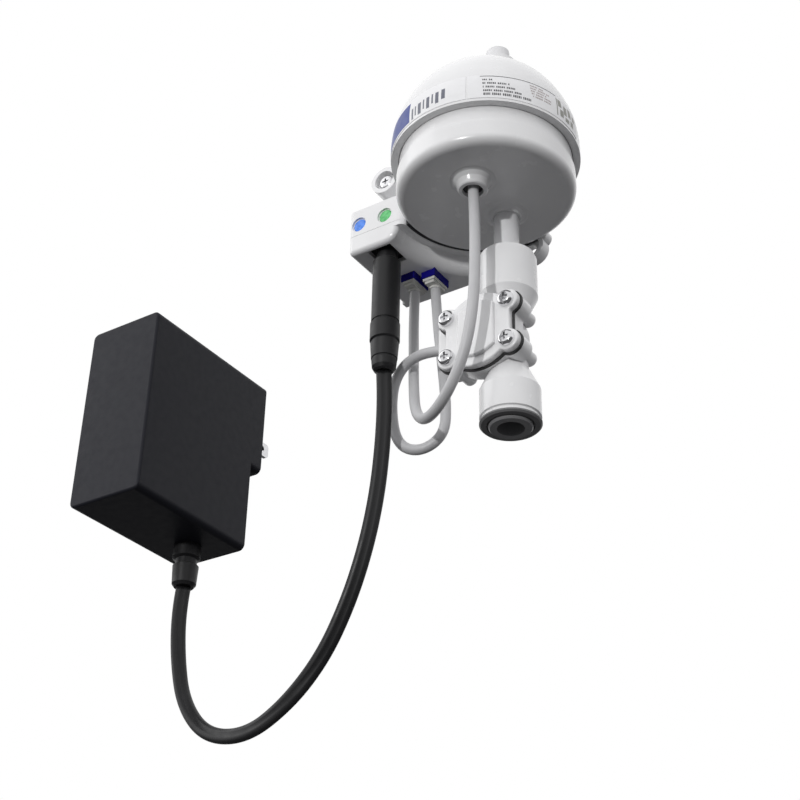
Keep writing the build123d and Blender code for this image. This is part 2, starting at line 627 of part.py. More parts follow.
def flow_cover():
    back = SENSOR_FACE - GASKET_T
    cover = sensor_slab(0.0, back - COVER_T, back)
    cover = fillet(cover.edges().group_by(Axis.Y)[0], 0.7)
    raised = Plane(origin=(SENSOR_X, back - COVER_T, SENSOR_Z), x_dir=(1, 0, 0), z_dir=(0, -1, 0))
    raised = raised * extrude(Circle(11.5) & Rectangle(15.0, 23.0), 1.4)
    cover += fillet(raised.edges().group_by(Axis.Y)[0], 0.8)
    cover -= rod(1.05, back - 2.0, back, SENSOR_X, SENSOR_Z)
    for dx, dz in screw_spots():
        cover -= rod(1.55, back - COVER_T, back, SENSOR_X + dx, SENSOR_Z + dz)
    return cover


def cover_screws():
    seat = SENSOR_FACE - GASKET_T - COVER_T
    screws = []
    for dx, dz in screw_spots():
        x = SENSOR_X + dx
        z = SENSOR_Z + dz
        head = rod(SCREW_HEAD_R, seat - 2.2, seat, x, z)
        head = fillet(head.edges().sort_by(Axis.Y)[0], 1.3)
        head -= cross_recess(x, seat - 2.2, z, 3.4, 0.8)
        screws.append(head + rod(1.4, seat, BOSS_BACK - 3.5, x, z))
    return Compound(children=screws)


def rotor():
    """Turbine wheel: hub, web and eight flat blades."""
    front = ROTOR_FRONT
    back = ROTOR_BACK
    wheel = rod(3.4, front, back, SENSOR_X, SENSOR_Z)
    wheel += rod(ROTOR_R, back - 1.2, back, SENSOR_X, SENSOR_Z)
    for step in range(8):
        blade = Box(ROTOR_R - 2.0, back - front, 1.1)
        spoke = Rot(0, 45 * step, 0) * Pos((ROTOR_R + 2.0) / 2, 0, 0) * blade
        wheel += Pos(SENSOR_X, (front + back) / 2, SENSOR_Z) * spoke
    wheel &= rod(ROTOR_R, front, back, SENSOR_X, SENSOR_Z)
    wheel -= rod(1.0 + RUN_FIT, front, back, SENSOR_X, SENSOR_Z)
    for dx in (-MAGNET_DX, MAGNET_DX):
        wheel -= rod(MAGNET_R + 0.03, front, front + MAGNET_LEN, SENSOR_X + dx, SENSOR_Z)
    return wheel


def rotor_magnets():
    """Two magnet pins set in the hub."""
    back = ROTOR_FRONT + MAGNET_LEN
    pins = [rod(MAGNET_R, ROTOR_FRONT, back, SENSOR_X + dx, SENSOR_Z) for dx in (-MAGNET_DX, MAGNET_DX)]
    return Compound(children=pins)


def rotor_axle():
    return rod(1.0, SENSOR_FACE - GASKET_T - 1.9, CAVITY_BACK + 0.9, SENSOR_X, SENSOR_Z)


def hall_board():
    """Sensor board with its pickup chip, sealed in the side pod."""
    board = block(-22.9, -21.7, -31.8, -26.2, -62.8, -54.2)
    chip = block(-21.7, -20.3, -31.0, -27.0, -60.5, -56.5)
    return board + chip


def sensor_grommet():
    bush = Rot(0, 90, 0) * Cylinder(LEAD_R + 0.55, 3.2)
    return Pos(-24.6, -29.0, -58.5) * bush & block(-24.5, -23.0, -34, -24, -64, -52)


def collet(rim, up, proud):
    """Push-to-release collet: a flange outside and fingers inside the cup."""
    return turned([(COLLET_BORE, rim + up * proud), (7.4, rim + up * proud),
                   (COLLET_R, rim + up * (proud - 0.5)), (COLLET_R, rim - up * 0.2), (7.0, rim - up * 0.4),
                   (6.4, rim - up * 4.6), (COLLET_BORE, rim - up * 4.6)], PIPE_X, PIPE_Y)


def grip_ring(rim, up):
    """Stainless toothed ring behind the collet."""
    return pipe(BAY_R - 0.1, TUBE_R + 0.4, rim - up * 7.4, rim - up * 6.9, PIPE_X, PIPE_Y)


def fitting_cap():
    """Dark ring that closes the lower cup round its collet."""
    inner = COLLET_R + 0.6
    return turned([(inner, CUP_LOW), (inner, CUP_LOW - 1.2), (CUP_R - 0.5, CUP_LOW - 1.2),
                   (CUP_R + 0.1, CUP_LOW - 0.6), (CUP_R + 0.1, CUP_LOW)], PIPE_X, PIPE_Y)


# ---- plug-in supply -----------------------------------------------------------------------
def supply_block():
    """Outer form: a deep box with a shorter plug base against the wall."""
    box = block(SUPPLY_X0, SUPPLY_X1, SUPPLY_FRONT, SUPPLY_BACK, SUPPLY_LOW, SUPPLY_HIGH)
    box = fillet(box.edges().filter_by(Axis.Y), 2.6)
    box = fillet(box.edges().group_by(Axis.Y)[0], 1.0)
    base = block(SUPPLY_X0, SUPPLY_X1, SUPPLY_BACK - 4, 0, BASE_LOW, SUPPLY_HIGH)
    base = fillet(base.edges().filter_by(Axis.Y), 2.6)
    return box + base


def supply_space():
    w = SUPPLY_WALL
    return block(SUPPLY_X0 + w, SUPPLY_X1 - w, SUPPLY_FRONT + w, SUPPLY_BACK - w,
                 SUPPLY_LOW + w, SUPPLY_HIGH - w)


def supply_case():
    front = block(SUPPLY_X0 - 1, SUPPLY_X1 + 1, SUPPLY_FRONT - 1, SUPPLY_SEAM_Y,
                  SUPPLY_LOW - 1, SUPPLY_HIGH + 1)
    case = supply_block() - supply_space() - front
    for x in blade_places():
        case -= blade(x, 0.05)
    return case - post(3.6, SUPPLY_LOW, SUPPLY_LOW + SUPPLY_WALL, SUPPLY_X, RELIEF_Y)


def supply_cover():
    front = block(SUPPLY_X0 - 1, SUPPLY_X1 + 1, SUPPLY_FRONT - 1, SUPPLY_SEAM_Y,
                  SUPPLY_LOW - 1, SUPPLY_HIGH + 1)
    return (supply_block() - supply_space()) & front


def blade_places():
    return (SUPPLY_X - BLADE_PITCH / 2, SUPPLY_X + BLADE_PITCH / 2)


def blade(x, grow):
    """One flat mains blade, from inside the case to its tip."""
    return block(x - BLADE_T / 2 - grow, x + BLADE_T / 2 + grow, SUPPLY_BACK - 6, BLADE_LEN,
                 BLADE_Z - BLADE_W / 2 - grow, BLADE_Z + BLADE_W / 2 + grow)


def mains_blades():
    blades = []
    for x in blade_places():
        bar = fillet(blade(x, 0).edges().filter_by(Axis.X).group_by(Axis.Y)[-1], 1.5)
        hole = Pos(x, BLADE_LEN - 4.5, BLADE_Z) * Rot(0, 90, 0) * Cylinder(1.6, 4)
        blades.append(bar - hole)
    return Compound(children=blades)


def supply_board():
    return block(SUPPLY_X0 + 4, SUPPLY_X0 + 5.6, SUPPLY_FRONT + 5, SUPPLY_BACK - 5,
                 SUPPLY_LOW + 5, SUPPLY_HIGH - 5)


def supply_components():
    """Transformer and two capacitors on the supply's board."""
    x = SUPPLY_X0 + 5.6
    core = block(x, x + 18, -50, -26, -84, -58)
    coil = block(x + 3, x + 15, -47, -29, -88, -54)
    tall = post(6.5, -53, -33, x + 9, -56)
    short = post(4.0, -99, -87, x + 6, -20)
    return Compound(children=[core + coil, tall, short])


def strain_relief():
    """Moulded cord exit under the supply: a neck and a stepped collar."""
    return turned([(0, SUPPLY_LOW + SUPPLY_WALL), (3.5, SUPPLY_LOW + SUPPLY_WALL), (3.5, SUPPLY_LOW),
                   (5.4, SUPPLY_LOW), (5.6, -109.5), (4.3, -110.2), (4.3, -112.4), (5.2, -113.0),
                   (4.8, -120.6), (3.9, RELIEF_TIP), (0, RELIEF_TIP)], SUPPLY_X, RELIEF_Y)


# ---- cords --------------------------------------------------------------------------------
def corner_radii(points):
    """Largest sensible arc at each corner of a route."""
    radii = []
    spots = [Vector(*p) for p in points]
    for before, here, after in zip(spots, spots[1:], spots[2:]):
        turn = (here - before).get_angle(after - here)
        shorter = min((here - before).length, (after - here).length)
        radii.append(0.45 * shorter / math.tan(math.radians(turn) / 2))
    return radii


def cord(points, radius, name):
    """Round cord along its route, swept from tangent arcs and straight runs."""
    radii = corner_radii(points)
    path = FilletPolyline(*points, radius=radii)
    start = Plane(origin=path @ 0, z_dir=path % 0)
    solid = sweep(start * Circle(radius), path=path)
    ideal = math.pi * radius ** 2 * path.length
    print(name, "length", round(path.length, 1), "volume ratio", round(solid.volume / ideal, 4))
    print(name, "radii", [round(value, 1) for value in radii])
    return solid


# ---- the whole object ---------------------------------------------------------------------
def main():
    os.makedirs("parts", exist_ok=True)
    save(dome_shell(), "dome_shell")
    save(label_band(206, 83, LABEL_LOW, LABEL_HIGH), "front_label")
    save(label_band(290, 80, LABEL_LOW, LABEL_HIGH), "side_label")
    save(lower_bowl(), "lower_bowl")
    save(lead_grommet(), "lead_grommet")
    save(chamber_base(), "chamber_base")
    save(reaction_chamber(), "reaction_chamber")
    save(o_ring(CHAMBER_R - 0.85, 0.8, BASE_TOP + 0.85, 0, AXIS_Y), "chamber_o_ring")
    save(post(WINDOW_R, WINDOW_SEAT, WINDOW_SEAT + WINDOW_T, 0, WINDOW_Y), "quartz_window")
    save(o_ring(WINDOW_R - 0.9, 0.6, WINDOW_SEAT - 0.6, 0, WINDOW_Y), "window_o_ring")
    save(window_clamp(), "window_clamp_ring")
    save(window_screws(), "window_screws")
    save(led_board(), "led_board")
    save(uv_leds(), "uv_leds")
    save(heat_spreader(), "heat_spreader")
    save(upper_stem(), "upper_stem")
    save(pipe(TUBE_R, TUBE_BORE, CUP_TOP - 15.0, BASE_TOP - 2.1, PIPE_X, PIPE_Y), "lower_stem")
    save(o_ring(HIDDEN_R + SEAL_R + SEAL_SQUEEZE, SEAL_R, OUTLET_SEAL_Z, OUTLET_X, PIPE_Y),
         "upper_stem_o_ring")
    save(o_ring(TUBE_R + SEAL_R + SEAL_SQUEEZE, SEAL_R, LEDGE_Z + 1.0, PIPE_X, PIPE_Y),
         "lower_stem_o_ring")

    save(cradle_housing(), "cradle_housing")
    save(underside_cover(), "underside_cover")
    save(cradle_pad(), "cradle_pad")
    save(control_board(), "control_board")
    save(board_parts(), "board_parts")
    save(status_leds(), "status_leds")
    save(lens(LENSES[0]), "blue_lens")
    save(lens(LENSES[1]), "green_lens")
    save(dc_jack(), "dc_jack")
    save(lead_socket(SOCKETS[0]), "reactor_socket")
    save(lead_socket(SOCKETS[1]), "sensor_socket")
    save(lead_plug(SOCKETS[0]), "reactor_lead_plug")
    save(lead_plug(SOCKETS[1]), "sensor_lead_plug")
    save(wall_screw(SCREW_L, LUG_FRONT + 3.0), "wall_screw")
    save(dc_plug(), "dc_plug")
    save(dc_plug_barrel(), "dc_plug_barrel")

    save(flow_body(), "flow_body")
    save(flow_gasket(), "flow_gasket")
    save(flow_cover(), "flow_cover")
    save(cover_screws(), "flow_cover_screws")
    save(rotor(), "flow_rotor")
    save(rotor_magnets(), "rotor_magnets")
    save(rotor_axle(), "rotor_axle")
    save(hall_board(), "hall_board")
    save(sensor_grommet(), "sensor_grommet")
    save(collet(CUP_TOP, 1, 1.6), "upper_collet")
    save(collet(CUP_LOW, -1, 2.2), "lower_collet")
    save(grip_ring(CUP_TOP, 1), "upper_grip_ring")
    save(grip_ring(CUP_LOW, -1), "lower_grip_ring")
    save(o_ring(TUBE_R + 1.1, 1.05, CUP_TOP - 9.0, PIPE_X, PIPE_Y), "upper_tube_o_ring")
    save(o_ring(TUBE_R + 1.1, 1.05, CUP_LOW + 9.0, PIPE_X, PIPE_Y), "lower_tube_o_ring")
    save(fitting_cap(), "lower_fitting_cap")

    save(supply_case(), "supply_case")
    save(supply_cover(), "supply_cover")
    save(mains_blades(), "mains_blades")
    save(supply_board(), "supply_board")
    save(supply_components(), "supply_components")
    save(strain_relief(), "strain_relief")

    save(cord(REACTOR_LEAD, LEAD_R, "reactor_lead"), "reactor_lead")
    save(cord(SENSOR_LEAD, LEAD_R, "sensor_lead"), "sensor_lead")
    save(cord(POWER_CORD, CORD_R, "power_cord"), "power_cord")


main()
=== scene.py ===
"""Looks of a wall-hung inline water treatment reactor with its cradle, flow sensor and supply.

Metres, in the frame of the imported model: origin on the wall behind the reactor axis, -Y points
into the room and +Z is up. The reactor hangs from the wall, so the floor lies far below it.
"""

import json
import math

import bpy
from mathutils import Matrix, Vector
from mathutils.bvhtree import BVHTree


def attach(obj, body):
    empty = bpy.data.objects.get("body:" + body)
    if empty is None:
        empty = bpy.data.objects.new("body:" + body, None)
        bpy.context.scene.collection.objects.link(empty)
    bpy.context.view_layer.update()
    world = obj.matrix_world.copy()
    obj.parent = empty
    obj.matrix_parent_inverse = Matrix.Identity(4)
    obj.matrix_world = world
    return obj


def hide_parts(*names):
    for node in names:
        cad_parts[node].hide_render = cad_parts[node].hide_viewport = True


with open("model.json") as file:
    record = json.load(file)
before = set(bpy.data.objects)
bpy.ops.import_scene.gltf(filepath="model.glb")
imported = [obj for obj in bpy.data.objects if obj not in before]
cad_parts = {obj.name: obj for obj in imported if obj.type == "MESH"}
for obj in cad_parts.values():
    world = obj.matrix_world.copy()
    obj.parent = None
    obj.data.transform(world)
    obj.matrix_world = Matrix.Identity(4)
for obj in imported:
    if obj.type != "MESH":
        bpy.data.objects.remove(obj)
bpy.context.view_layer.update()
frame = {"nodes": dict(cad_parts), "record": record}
nodes = frame["nodes"]

MM = 0.001

# ---- camera, floor and light --------------------------------------------------------------
CAMERA_AT = Vector((0.2208, -0.4214, -0.3583))
CAMERA_LOOKS = Vector((-0.4786, 0.7109, 0.5153))
CAMERA_ROLL = math.radians(1.25)
CAMERA_LENS = 67.17
SENSOR_WIDTH = 36.0
CLIP_START = 0.01
FLOOR_Z = -0.75
FLOOR_SIZE = 30
FLOOR_COLOR = (0.82, 0.82, 0.81)
HORIZON_BAND = (0.44, 0.56)          # share of the way from straight down to straight up
BELOW_COLOR = (0.105, 0.105, 0.108)
ABOVE_COLOR = (0.86, 0.86, 0.87)
BACKDROP_WAY = (-0.44, 0.70, 0.56)   # from the object toward the white backdrop
BACKDROP_EDGE = (0.66, 0.80)         # cosine of the angle to it where it starts and is full
BACKDROP_COLOR = (1.0, 1.0, 1.0)
KEY_TRAVEL = (-0.08, 1.0, -0.03)
KEY_STRENGTH = 1.25
KEY_SPREAD = 2.0                     # degrees
LEFT_BOX_AT = (-0.9, -0.5, 0.5)
LEFT_BOX_AIM = (0, -0.04, 0)
LEFT_BOX_SIZE = (0.8, 0.8)
LEFT_BOX_POWER = 2.0


def add_to_scene(obj):
    bpy.context.scene.collection.objects.link(obj)


def camera():
    data = bpy.data.cameras.new("camera")
    data.lens = CAMERA_LENS
    data.sensor_width = SENSOR_WIDTH
    data.clip_start = CLIP_START
    view = bpy.data.objects.new("camera", data)
    add_to_scene(view)
    aim = CAMERA_LOOKS.to_track_quat("-Z", "Y").to_matrix()
    turn = aim @ Matrix.Rotation(CAMERA_ROLL, 3, "Z")
    view.matrix_world = Matrix.Translation(CAMERA_AT) @ turn.to_4x4()
    bpy.context.scene.camera = view


def studio():
    """Soft light from above, dim below the horizon, with a white backdrop behind the object."""
    world = bpy.data.worlds.new("studio")
    bpy.context.scene.world = world
    world.use_nodes = True
    tree = world.node_tree
    place = tree.nodes.new("ShaderNodeTexCoord")
    split = tree.nodes.new("ShaderNodeSeparateXYZ")
    ramp = tree.nodes.new("ShaderNodeValToRGB")
    stops = zip(ramp.color_ramp.elements, HORIZON_BAND, (BELOW_COLOR, ABOVE_COLOR))
    for stop, position, color in stops:
        stop.position = position
        stop.color = (*color, 1)
    lift = tree.nodes.new("ShaderNodeMapRange")
    lift.inputs["From Min"].default_value = -1.0
    lift.inputs["From Max"].default_value = 1.0
    tree.links.new(place.outputs["Generated"], split.inputs[0])
    tree.links.new(split.outputs["Z"], lift.inputs["Value"])
    tree.links.new(lift.outputs["Result"], ramp.inputs["Fac"])
    toward = tree.nodes.new("ShaderNodeVectorMath")
    toward.operation = "DOT_PRODUCT"
    toward.inputs[1].default_value = BACKDROP_WAY
    tree.links.new(place.outputs["Generated"], toward.inputs[0])
    backdrop = spread(tree, toward.outputs["Value"], 0, 1, *BACKDROP_EDGE)
    lit = mix(tree, backdrop, ramp.outputs["Color"], BACKDROP_COLOR)
    tree.links.new(lit, tree.nodes["Background"].inputs["Color"])


def sun(name, travel, strength, angle):
    """Distant lamp whose light travels one way, with its spread in degrees."""
    data = bpy.data.lights.new(name, "SUN")
    data.energy = strength
    data.angle = math.radians(angle)
    lamp = bpy.data.objects.new(name, data)
    lamp.matrix_world = Vector(travel).to_track_quat("-Z", "Y").to_matrix().to_4x4()
    add_to_scene(lamp)


def softbox(name, at, target, size, power):
    """Rectangular lamp at one place that faces another."""
    data = bpy.data.lights.new(name, "AREA")
    data.shape = "RECTANGLE"
    data.size, data.size_y = size
    data.energy = power
    lamp = bpy.data.objects.new(name, data)
    turn = (Vector(target) - Vector(at)).to_track_quat("-Z", "Y").to_matrix().to_4x4()
    lamp.matrix_world = Matrix.Translation(Vector(at)) @ turn
    add_to_scene(lamp)


def floor():
    """Pale floor far below the object, which throws no light back on it."""
    bpy.ops.mesh.primitive_plane_add(size=FLOOR_SIZE, location=(0, 0, FLOOR_Z))
    plane = bpy.context.object
    plane.name = "floor"
    mat, tree, shader = principled("floor_paint", FLOOR_COLOR, 0.85)
    mottle(tree, shader, FLOOR_COLOR, 0.02, 0.4)
    plane.data.materials.append(mat)
    plane.visible_diffuse = False
    plane.visible_glossy = False


# ---- materials ----------------------------------------------------------------------------
def principled(name, color, roughness, **sockets):
    """A material with one Principled shader, and its node tree and shader."""
    mat = bpy.data.materials.new(name)
    mat.use_nodes = True
    shader = mat.node_tree.nodes["Principled BSDF"]
    shader.inputs["Base Color"].default_value = (*color, 1)
    shader.inputs["Roughness"].default_value = roughness
    for socket, value in sockets.items():
        shader.inputs[socket.replace("_", " ")].default_value = value
    return mat, mat.node_tree, shader


def noise(tree, feature, detail=3.0):
    """Noise in the frame's own coordinates, with features of that size in metres."""
    place = tree.nodes.new("ShaderNodeTexCoord")
    scale = tree.nodes.new("ShaderNodeMapping")
    scale.inputs["Scale"].default_value = [1 / feature] * 3
    field = tree.nodes.new("ShaderNodeTexNoise")
    field.inputs["Scale"].default_value = 1.0
    field.inputs["Detail"].default_value = detail
    tree.links.new(place.outputs["Object"], scale.inputs["Vector"])
    tree.links.new(scale.outputs["Vector"], field.inputs["Vector"])
    return field.outputs["Fac"]


def spread(tree, value, low, high, near=0.3, far=0.7):
    """Map the middle of a noise onto low to high."""
    span = tree.nodes.new("ShaderNodeMapRange")
    span.inputs["From Min"].default_value = near
    span.inputs["From Max"].default_value = far
    span.inputs["To Min"].default_value = low
    span.inputs["To Max"].default_value = high
    tree.links.new(value, span.inputs["Value"])
    return span.outputs["Result"]


def mix(tree, factor, first, second):
    """Colour between two colours, by a value."""
    blend = tree.nodes.new("ShaderNodeMix")
    blend.data_type = "RGBA"
    for socket, color in (("A", first), ("B", second)):
        target = next(i for i in blend.inputs if i.name == socket and i.type == "RGBA")
        if isinstance(color, bpy.types.NodeSocket):
            tree.links.new(color, target)
        else:
            target.default_value = (*color, 1)
    tree.links.new(factor, blend.inputs["Factor"])
    return next(o for o in blend.outputs if o.type == "RGBA")


def mottle(tree, shader, color, amount, feature):
    """Slight variation of the colour."""
    factor = spread(tree, noise(tree, feature), 0, 1)
    dark = [c * (1 - amount) for c in color]
    light = [min(1, c * (1 + amount)) for c in color]
    tree.links.new(mix(tree, factor, dark, light), shader.inputs["Base Color"])


def uneven_gloss(tree, shader, low, high, feature):
    """Roughness that varies from low to high."""
    tree.links.new(spread(tree, noise(tree, feature), low, high), shader.inputs["Roughness"])


def grain(tree, shader, feature, height, detail=2.0):
    """Fine relief of the moulded or drawn surface, with its height in metres."""
    bump = tree.nodes.new("ShaderNodeBump")
    bump.inputs["Strength"].default_value = 1.0
    bump.inputs["Distance"].default_value = height
    tree.links.new(noise(tree, feature, detail), bump.inputs["Height"])
    tree.links.new(bump.outputs["Normal"], shader.inputs["Normal"])


def moulded(name, color, gloss, feature=6 * MM, grain_size=0.5 * MM, relief=0.004 * MM,
            **sockets):
    """Moulded plastic: slight colour and gloss variation over a fine relief."""
    low, high = gloss
    mat, tree, shader = principled(name, color, (low + high) / 2, **sockets)
    mottle(tree, shader, color, 0.025, feature)
    uneven_gloss(tree, shader, low, high, feature / 2)
    grain(tree, shader, grain_size, relief)
    return mat


def metal(name, color, gloss):
    """Bare or plated metal with fine wear."""
    low, high = gloss
    mat, tree, shader = principled(name, color, (low + high) / 2, Metallic=1.0)
    mottle(tree, shader, color, 0.05, 1.5 * MM)
    uneven_gloss(tree, shader, low, high, 0.8 * MM)
    grain(tree, shader, 0.25 * MM, 0.003 * MM, 3.0)
    return mat


def lit_lens(name, color, glow):
    """Lens with a lamp behind it, which lights it unevenly."""
    mat, tree, shader = principled(name, color, 0.12, Coat_Weight=0.6, Coat_Roughness=0.05)
    factor = spread(tree, noise(tree, 1.6 * MM, 1.0), 0, 1)
    bright = [min(1, c * 1.35 + 0.06) for c in color]
    shown = mix(tree, factor, color, bright)
    tree.links.new(shown, shader.inputs["Base Color"])
    tree.links.new(shown, shader.inputs["Emission Color"])
    shader.inputs["Emission Strength"].default_value = glow
    grain(tree, shader, 0.6 * MM, 0.02 * MM)
    return mat


def all_materials():
    """One material for each slot of the record."""
    return {
        "white_gloss": moulded("white_gloss", (0.84, 0.84, 0.845), (0.22, 0.28), feature=14 * MM,
                               relief=0.0015 * MM, Coat_Weight=0.2, Coat_Roughness=0.12),
        "label_film": moulded("label_film", (0.88, 0.88, 0.89), (0.34, 0.42),
                              grain_size=1.2 * MM),
        "white_liner": moulded("white_liner", (0.88, 0.88, 0.86), (0.55, 0.65)),
        "quartz": moulded("quartz", (0.95, 0.97, 1.0), (0.02, 0.04),
                          Transmission_Weight=1.0, IOR=1.46),
        "seal_rubber": moulded("seal_rubber", (0.014, 0.014, 0.015), (0.5, 0.65)),
        "steel": metal("steel", (0.60, 0.60, 0.61), (0.25, 0.4)),
        "plated_steel": metal("plated_steel", (0.78, 0.78, 0.79), (0.08, 0.18)),
        "board_green": moulded("board_green", (0.015, 0.14, 0.045), (0.3, 0.4)),
        "board_white": moulded("board_white", (0.82, 0.82, 0.80), (0.3, 0.4)),
        "emitter": moulded("emitter", (0.75, 0.66, 0.35), (0.2, 0.3)),
        "copper": metal("copper", (0.83, 0.42, 0.28), (0.3, 0.42)),
        "stem_white": moulded("stem_white", (0.80, 0.80, 0.81), (0.18, 0.26)),
        "black_parts": moulded("black_parts", (0.014, 0.014, 0.015), (0.35, 0.5)),
        "lamp_clear": moulded("lamp_clear", (0.85, 0.88, 0.9), (0.05, 0.1)),
        "lens_blue": lit_lens("lens_blue", (0.004, 0.13, 0.55), 0.26),
        "lens_green": lit_lens("lens_green", (0.045, 0.36, 0.09), 0.2),
        "socket_blue": moulded("socket_blue", (0.004, 0.002, 0.19), (0.35, 0.5),
                               Specular_IOR_Level=0.15),
        "plug_white": moulded("plug_white", (0.66, 0.66, 0.63), (0.4, 0.5)),
        "rotor_plastic": moulded("rotor_plastic", (0.72, 0.72, 0.70), (0.35, 0.5)),
        "collet_grey": moulded("collet_grey", (0.25, 0.25, 0.255), (0.35, 0.45)),
        "cap_dark": moulded("cap_dark", (0.16, 0.16, 0.163), (0.45, 0.55)),
        "supply_black": moulded("supply_black", (0.014, 0.0145, 0.020), (0.42, 0.52),
                                grain_size=0.35 * MM, relief=0.01 * MM,
                                Specular_IOR_Level=0.16),
        "cord_black": moulded("cord_black", (0.012, 0.012, 0.013), (0.36, 0.48),
                              Specular_IOR_Level=0.35),
        "lead_grey": moulded("lead_grey", (0.56, 0.56, 0.57), (0.38, 0.48)),
    }


def dress(materials):
    """Give each CAD node the material of its slot in the record."""
    for part in frame["record"]["subparts"]:
        for slot in nodes[part["node"]].material_slots:
            slot.material = materials[part["material_slot"]]


# ---- cords --------------------------------------------------------------------------------
# Control points in metres. Each lead runs from the part it serves to its socket, and the power
# cord from its plug under the cradle to the supply.
REACTOR_LEAD = [(0.0015, -0.0508, -0.0045), (0.0020, -0.0505, -0.0205), (0.0020, -0.0505, -0.0400),
                (0.0010, -0.0500, -0.0590), (-0.0035, -0.0490, -0.0785), (-0.0140, -0.0450, -0.0910),
                (-0.0265, -0.0375, -0.0925), (-0.0365, -0.0290, -0.0820), (-0.0417, -0.0225, -0.0653),
                (-0.0447, -0.0182, -0.0482), (-0.0470, -0.0152, -0.0304), (-0.0470, -0.0146, -0.0155)]
SENSOR_LEAD = [(-0.0245, -0.0290, -0.0585), (-0.0305, -0.0282, -0.0566), (-0.0380, -0.0270, -0.0555),
               (-0.0446, -0.0257, -0.0572), (-0.0489, -0.0248, -0.0624), (-0.0501, -0.0244, -0.0700),
               (-0.0499, -0.0240, -0.0780), (-0.0486, -0.0234, -0.0858), (-0.0450, -0.0226, -0.0910),
               (-0.0392, -0.0216, -0.0930), (-0.0334, -0.0204, -0.0910), (-0.0299, -0.0192, -0.0858),
               (-0.0300, -0.0182, -0.0765), (-0.0316, -0.0168, -0.0656), (-0.0341, -0.0150, -0.0510),
               (-0.0370, -0.0132, -0.0350), (-0.0391, -0.0119, -0.0155)]
POWER_CORD = [(-0.0477, -0.0338, -0.0629), (-0.0469, -0.0338, -0.0730), (-0.0474, -0.0335, -0.0930),
              (-0.0500, -0.0325, -0.1130), (-0.0545, -0.0320, -0.1325), (-0.0620, -0.0310, -0.1515),
              (-0.0730, -0.0295, -0.1690), (-0.0880, -0.0285, -0.1825), (-0.1070, -0.0265, -0.1905),
              (-0.1275, -0.0245, -0.1865), (-0.1415, -0.0225, -0.1715), (-0.1480, -0.0210, -0.1520),
              (-0.1505, -0.0205, -0.1320), (-0.14925, -0.0205, -0.1218)]
LEAD_DIAMETER = 4.0 * MM
CORD_WIDTH = 5.8 * MM
CORD_THICK = 3.3 * MM
CORD_SIDES = 28                             # points round the cord's section
GROOVE_DEPTH = 0.24                         # between its two wires, as a share of the thickness
GROOVE_WIDTH = 0.55 * MM
CORD_FACES = Vector((0.48, -0.71, -0.52))   # way the flat side faces where it isn't twisted
CORD_TWIST = ((0.0, 0), (0.42, 0), (0.62, 46), (0.80, 40), (1.0, 8))   # share of length, degrees


def route_curve(name, points):
    """One open NURBS spline with the route's points as its control points."""
    data = bpy.data.curves.new(name, "CURVE")
    data.dimensions = "3D"
    data.resolution_u = 12
    spline = data.splines.new("NURBS")
    spline.points.add(len(points) - 1)
    for knot, place in zip(spline.points, points):
        knot.co = (*place, 1)
    spline.order_u = 3
    spline.use_endpoint_u = True
    return data


def round_lead(name, points, material):
    """One of the two grey leads, as a round tube along its route."""
    data = route_curve(name, points)
    data.bevel_depth = LEAD_DIAMETER / 2
    data.bevel_resolution = 8
    data.materials.append(material)
    lead = bpy.data.objects.new(name + "_jacket", data)
    add_to_scene(lead)
    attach(lead, "unit")
    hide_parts(name)


def flat_section():
    """Outline of a flat twin cord: two wires side by side with a groove between them."""
    outline = []
    for step in range(CORD_SIDES):
        turn = 2 * math.pi * step / CORD_SIDES
        across = CORD_WIDTH / 2 * signed_power(math.cos(turn), 0.85)
        groove = 1 - GROOVE_DEPTH * math.exp(-(across / GROOVE_WIDTH) ** 2)
        up = CORD_THICK / 2 * signed_power(math.sin(turn), 0.75) * groove
        outline.append((across, up))
    return outline


def signed_power(value, power):
    return math.copysign(abs(value) ** power, value)


def twist_at(share):
    """Turn of the flat side about the cord, in radians, at a share of the length."""
    for (start, low), (stop, high) in zip(CORD_TWIST, CORD_TWIST[1:]):
        if share <= stop:
            part = (share - start) / (stop - start)
            return math.radians(low + (high - low) * part * part * (3 - 2 * part))
    return math.radians(CORD_TWIST[-1][1])


def flat_cord(name, points, material):
    """Mesh of the flat cord along its route, and the line it follows."""
    guide = bpy.data.objects.new(name + "_guide", route_curve(name + "_guide", points))
    line = [v.co.copy() for v in bpy.data.meshes.new_from_object(guide).vertices]
    bpy.data.objects.remove(guide)
    outline = flat_section()
    verts = []
    for here, place in enumerate(line):
        along = (line[min(here + 1, len(line) - 1)] - line[max(here - 1, 0)]).normalized()
        wide = along.cross(CORD_FACES).normalized()
        wide = Matrix.Rotation(twist_at(here / (len(line) - 1)), 3, along) @ wide
        thin = along.cross(wide)
        verts += [place + wide * across + thin * up for across, up in outline]
    count = len(outline)
    faces = []
    for ring in range(len(line) - 1):
        for side in range(count):
            low = ring * count + side
            nxt = ring * count + (side + 1) % count
            faces.append((low, nxt, nxt + count, low + count))
    faces.append(tuple(reversed(range(count))))
    faces.append(tuple(range((len(line) - 1) * count, len(line) * count)))
    mesh = bpy.data.meshes.new(name + "_jacket")
    mesh.from_pydata(verts, [], faces)
    mesh.materials.append(material)
    for face in mesh.polygons:
        face.use_smooth = len(face.vertices) == 4
    flex = bpy.data.objects.new(name + "_jacket", mesh)
    add_to_scene(flex)
    return flex, line


def cords(materials):
    """The three cords, in place of their plain solids."""
    round_lead("reactor_lead", REACTOR_LEAD, materials["lead_grey"])
    round_lead("sensor_lead", SENSOR_LEAD, materials["lead_grey"])
    flex, line = flat_cord("power_cord", POWER_CORD, materials["cord_black"])
    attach(flex, "unit")
    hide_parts("power_cord")


